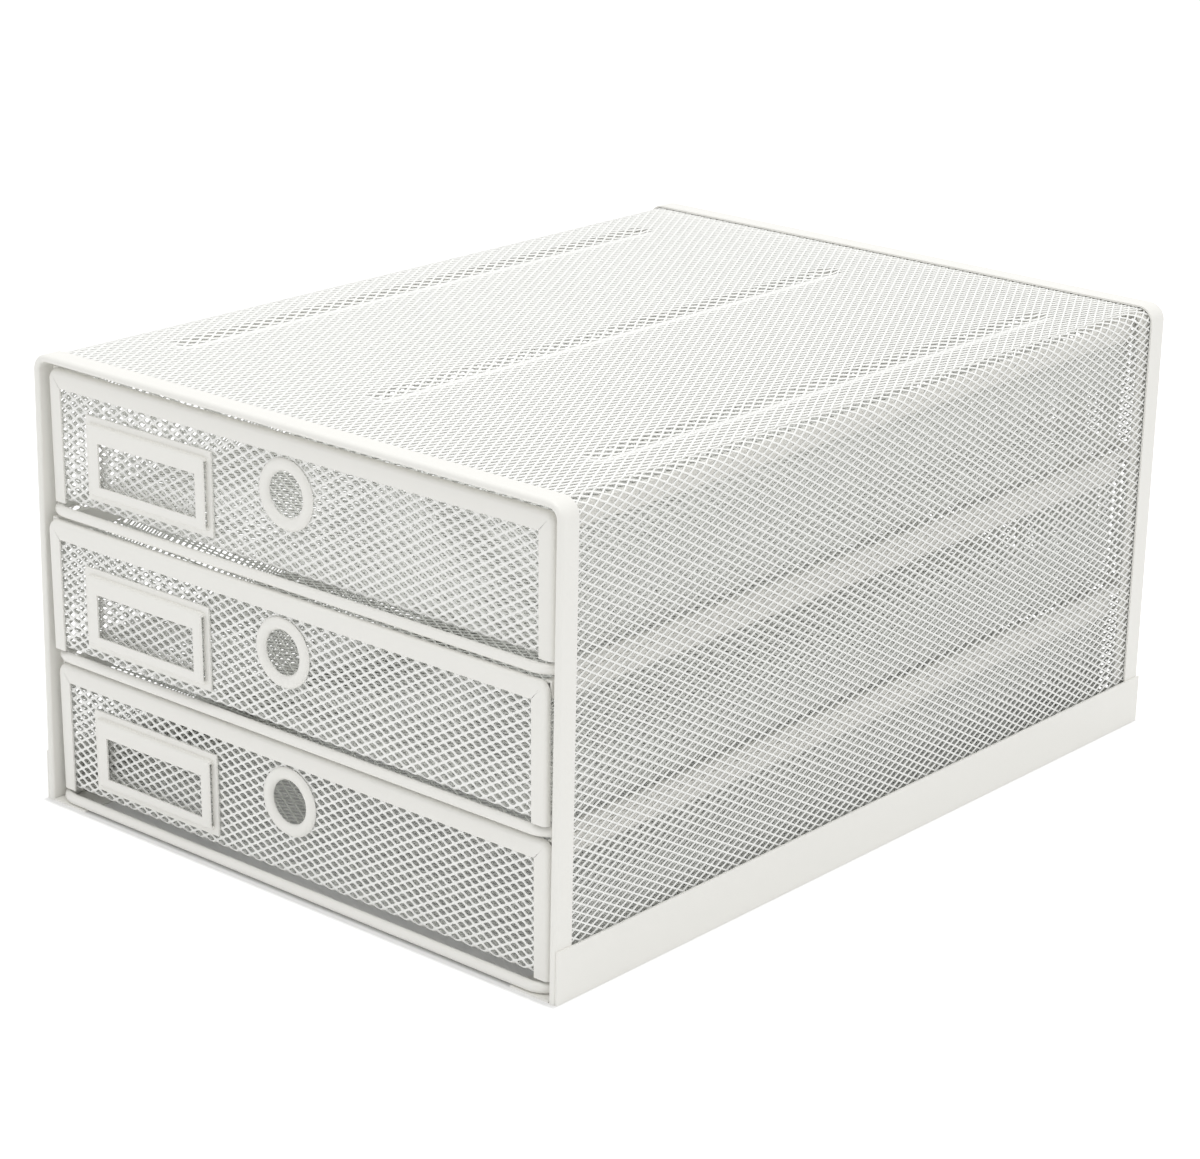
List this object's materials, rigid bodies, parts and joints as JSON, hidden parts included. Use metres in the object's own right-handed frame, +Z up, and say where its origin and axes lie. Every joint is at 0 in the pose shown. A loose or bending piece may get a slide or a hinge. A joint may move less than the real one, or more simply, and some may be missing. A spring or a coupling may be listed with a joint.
{
  "type": "desktop drawer organizer",
  "caption": "Desktop letter-size organizer: an expanded-mesh case on wire runners holds stacked mesh drawers, each with a label holder and a finger ring.",
  "frame": {"origin": "centre of the bounding box's bottom face, on the surface that the unit stands on", "axes": "+X to the right seen from the front, +Y from the drawer fronts to the rear, +Z up"},
  "size_m": [0.2414, 0.337, 0.164],
  "materials": {
    "sheet": "white powder coat, satin",
    "mesh": "white powder coat, satin",
    "wire": "white powder coat, satin"
  },
  "bodies": {
    "case": {"shell_left": "mesh", "shell_right": "mesh", "shell_top": "mesh", "bend_left": "mesh", "bend_right": "mesh", "rear_panel": "mesh", "front_trim": "sheet", "rear_trim": "sheet", "skirt_left": "sheet", "skirt_right": "sheet", "wire_frame_bottom": "wire", "wire_frame_middle": "wire", "wire_frame_top": "wire"},
    "drawer_bottom": {"bottom_front": "mesh", "bottom_floor": "mesh", "bottom_back": "mesh", "bottom_side_left": "mesh", "bottom_side_right": "mesh", "bottom_front_frame": "sheet", "bottom_rim_left": "sheet", "bottom_rim_right": "sheet", "bottom_rim_back": "sheet", "bottom_label_holder": "sheet", "bottom_finger_ring": "sheet"},
    "drawer_middle": {"middle_front": "mesh", "middle_floor": "mesh", "middle_back": "mesh", "middle_side_left": "mesh", "middle_side_right": "mesh", "middle_front_frame": "sheet", "middle_rim_left": "sheet", "middle_rim_right": "sheet", "middle_rim_back": "sheet", "middle_label_holder": "sheet", "middle_finger_ring": "sheet"},
    "drawer_top": {"top_front": "mesh", "top_floor": "mesh", "top_back": "mesh", "top_side_left": "mesh", "top_side_right": "mesh", "top_front_frame": "sheet", "top_rim_left": "sheet", "top_rim_right": "sheet", "top_rim_back": "sheet", "top_label_holder": "sheet", "top_finger_ring": "sheet"}
  },
  "joints": [
    {"name": "bottom_slide", "type": "slide", "parent": "case", "child": "drawer_bottom", "axis": [0, -1, 0], "range_m": [0, 0.24]},
    {"name": "middle_slide", "type": "slide", "parent": "case", "child": "drawer_middle", "axis": [0, -1, 0], "range_m": [-0.0023, 0.2377]},
    {"name": "top_slide", "type": "slide", "parent": "case", "child": "drawer_top", "axis": [0, -1, 0], "range_m": [0, 0.24]}
  ]
}
